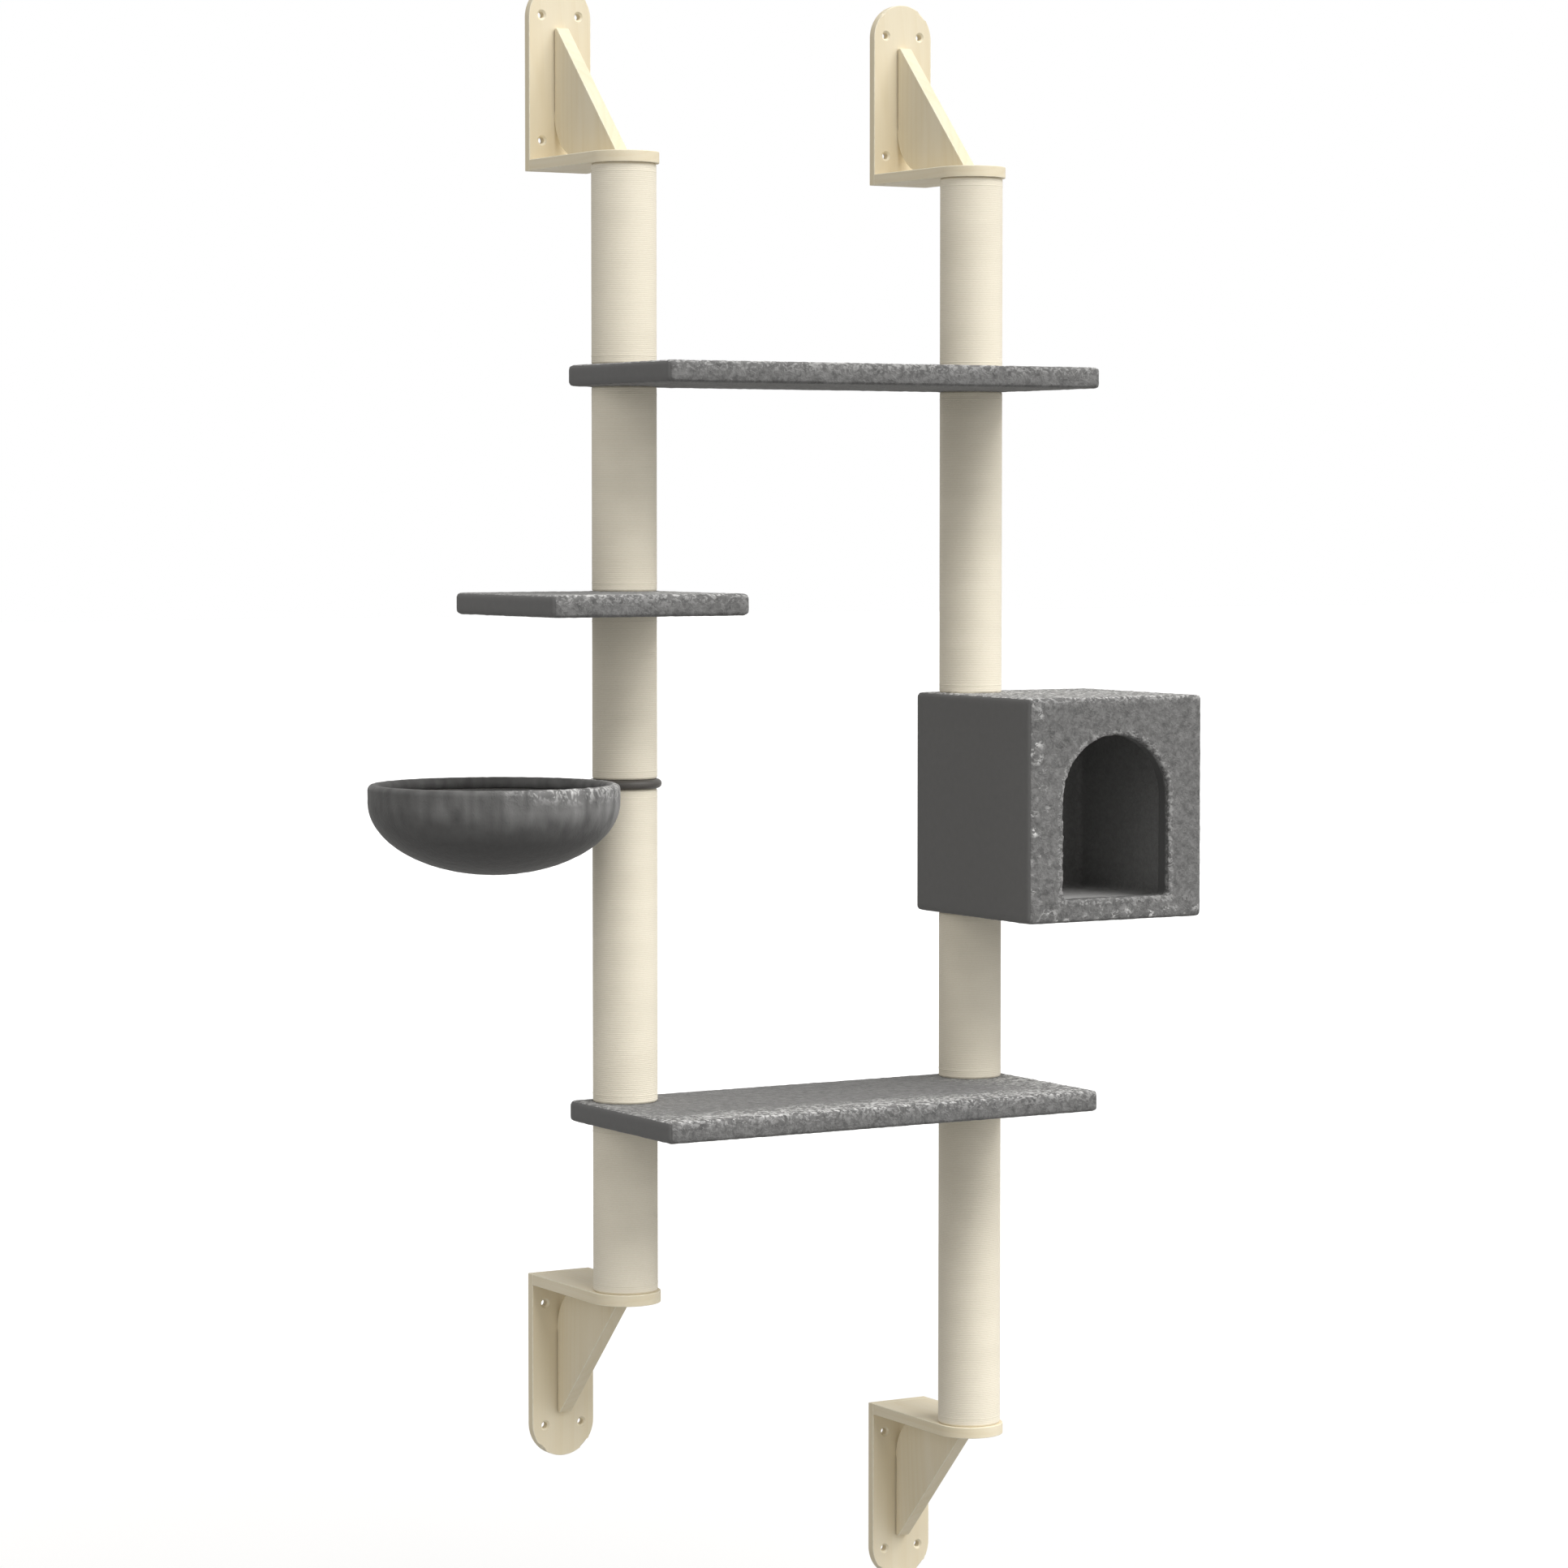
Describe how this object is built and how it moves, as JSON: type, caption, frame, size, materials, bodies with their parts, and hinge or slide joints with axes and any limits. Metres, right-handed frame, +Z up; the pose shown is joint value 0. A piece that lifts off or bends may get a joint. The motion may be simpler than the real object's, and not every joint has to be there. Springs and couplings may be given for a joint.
{
  "type": "wall mounted cat tree",
  "caption": "Cat tree held off the wall by wooden brackets: sisal covered posts carry plush covered shelves, a swivelling bowl shaped basket and a small house with an arched doorway.",
  "frame": {"origin": "centre of the upper left wall plate's four screw holes, on the plane of the wall", "axes": "+Y into the wall, +Z up along the posts, +X to the right as seen by someone facing the wall"},
  "size_m": [1.056, 0.385, 2.045],
  "materials": {
    "wood": "sanded pale pine",
    "sisal": "fine cream sisal weave",
    "plush": "dark grey short plush",
    "lining": "charcoal plush lining",
    "foam": "open cell foam",
    "cardboard": "wound cardboard",
    "plug_wood": "rough turned wood",
    "board": "raw fibreboard",
    "steel": "zinc plated",
    "hoop_steel": "grey paint",
    "brass": "plain",
    "collar": "smooth dark grey"
  },
  "bodies": {
    "wall_frame": {"upper_left_wall_plate": "wood", "upper_left_arm": "wood", "upper_left_gusset": "wood", "upper_right_wall_plate": "wood", "upper_right_arm": "wood", "upper_right_gusset": "wood", "lower_left_wall_plate": "wood", "lower_left_arm": "wood", "lower_left_gusset": "wood", "lower_right_wall_plate": "wood", "lower_right_arm": "wood", "lower_right_gusset": "wood", "bracket_screws": "steel", "arm_inserts": "brass", "left_tube_1": "cardboard", "left_sleeve_1": "sisal", "left_tube_2": "cardboard", "left_sleeve_2": "sisal", "left_tube_3": "cardboard", "left_sleeve_3": "sisal", "left_tube_4": "cardboard", "left_sleeve_4": "sisal", "left_tube_5": "cardboard", "left_sleeve_5": "sisal", "right_tube_1": "cardboard", "right_sleeve_1": "sisal", "right_tube_2": "cardboard", "right_sleeve_2": "sisal", "right_tube_3": "cardboard", "right_sleeve_3": "sisal", "right_tube_4": "cardboard", "right_sleeve_4": "sisal", "left_plugs": "plug_wood", "right_plugs": "plug_wood", "left_studs": "steel", "right_studs": "steel", "top_shelf_board": "board", "top_shelf_cover": "plush", "small_shelf_board": "board", "small_shelf_cover": "plush", "lower_shelf_board": "board", "lower_shelf_cover": "plush", "house_floor": "board", "house_roof": "board", "house_left_side": "board", "house_right_side": "board", "house_back": "board", "house_front": "board", "house_cover": "plush", "house_lining": "lining", "house_screws": "steel", "house_bolts": "steel", "house_washers": "steel"},
    "basket": {"basket_collar": "collar", "basket_hoop": "hoop_steel", "basket_cover": "plush", "basket_foam": "foam", "basket_lining": "lining"}
  },
  "joints": [
    {"name": "basket_swivel", "type": "hinge", "parent": "wall_frame", "child": "basket", "pos_m": [0, -0.175, -0.864], "axis": [0, 0, 1], "range_deg": [-15, 175]}
  ]
}
